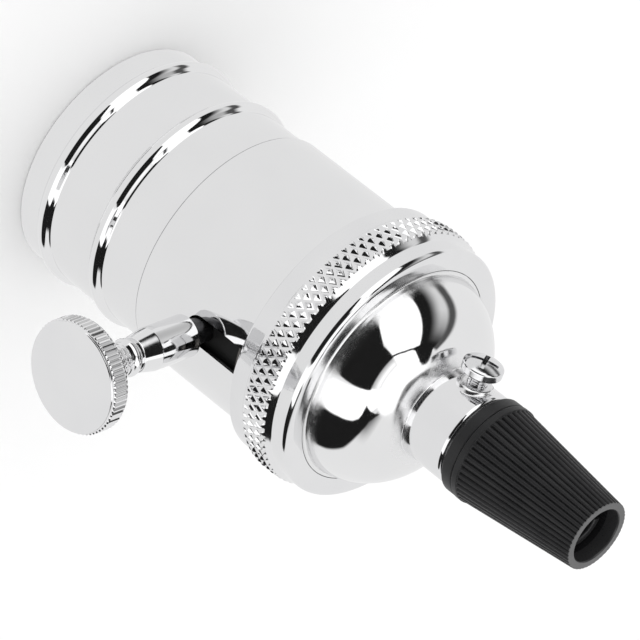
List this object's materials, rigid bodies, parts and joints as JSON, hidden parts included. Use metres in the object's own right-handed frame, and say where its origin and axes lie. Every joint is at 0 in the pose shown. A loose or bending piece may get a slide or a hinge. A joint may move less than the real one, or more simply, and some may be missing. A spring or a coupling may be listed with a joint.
{
  "type": "lamp holder",
  "caption": "Pendant lamp holder: beaded metal shell, knurled clamp ring, dome, neck with set screw, ribbed cord grip and a side switch knob on a spindle.",
  "frame": {"origin": "centre of the mouth rim's opening, on the plane of the rim", "axes": "+Z along the holder towards the cord grip; +X along the switch spindle towards the knob"},
  "size_m": [0.0674, 0.0446, 0.1038],
  "materials": {
    "shell_chrome": "polished",
    "ring_chrome": "polished, knurled",
    "turned_chrome": "polished",
    "knob_chrome": "polished, knurled edge",
    "screw_chrome": "polished",
    "zinc_steel": "bright zinc",
    "grip_plastic": "fine matt",
    "core_moulding": "matt",
    "rotor_moulding": "matt",
    "fibre": "matt",
    "brass": "satin",
    "thread_metal": "pressed",
    "dark_steel": "blackened",
    "spring_steel": "plain"
  },
  "bodies": {
    "holder": {"mouth_sleeve": "shell_chrome", "upper_shell": "shell_chrome", "dome_cap": "shell_chrome", "neck_bush": "turned_chrome", "neck_nut": "zinc_steel", "grip_body": "grip_plastic", "lamp_core": "core_moulding", "core_cover": "fibre", "insulating_liner": "fibre", "cover_screws": "zinc_steel", "terminal_screws": "brass", "live_terminal": "brass", "neutral_terminal": "brass", "switch_contact": "brass", "contact_rivet": "brass", "shell_rivets": "brass", "centre_contact": "brass", "thread_shell": "thread_metal", "detent_spring": "spring_steel"},
    "switch_shaft": {"knob": "knob_chrome", "spindle": "dark_steel", "spindle_clip": "spring_steel", "switch_rotor": "rotor_moulding", "rotor_bridge": "brass"},
    "ring": {"clamp_ring": "ring_chrome"},
    "nut": {"grip_nut": "grip_plastic"},
    "set_screw": {"neck_screw": "screw_chrome"}
  },
  "joints": [
    {"name": "knob_turn", "type": "hinge", "parent": "holder", "child": "switch_shaft", "pos_m": [0, 0, 0.0397], "axis": [1, 0, 0], "continuous": true},
    {"name": "ring_unscrew", "type": "hinge", "parent": "holder", "child": "ring", "pos_m": [0, 0, 0.055], "axis": [0, 0, 1], "range_deg": [0, 1800]},
    {"name": "nut_unscrew", "type": "hinge", "parent": "holder", "child": "nut", "pos_m": [0, 0, 0.09], "axis": [0, 0, 1], "range_deg": [0, 1620]},
    {"name": "screw_unscrew", "type": "hinge", "parent": "holder", "child": "set_screw", "pos_m": [0, 0, 0.07565], "axis": [-0.1045, -0.9945, 0], "range_deg": [0, 1440]}
  ]
}
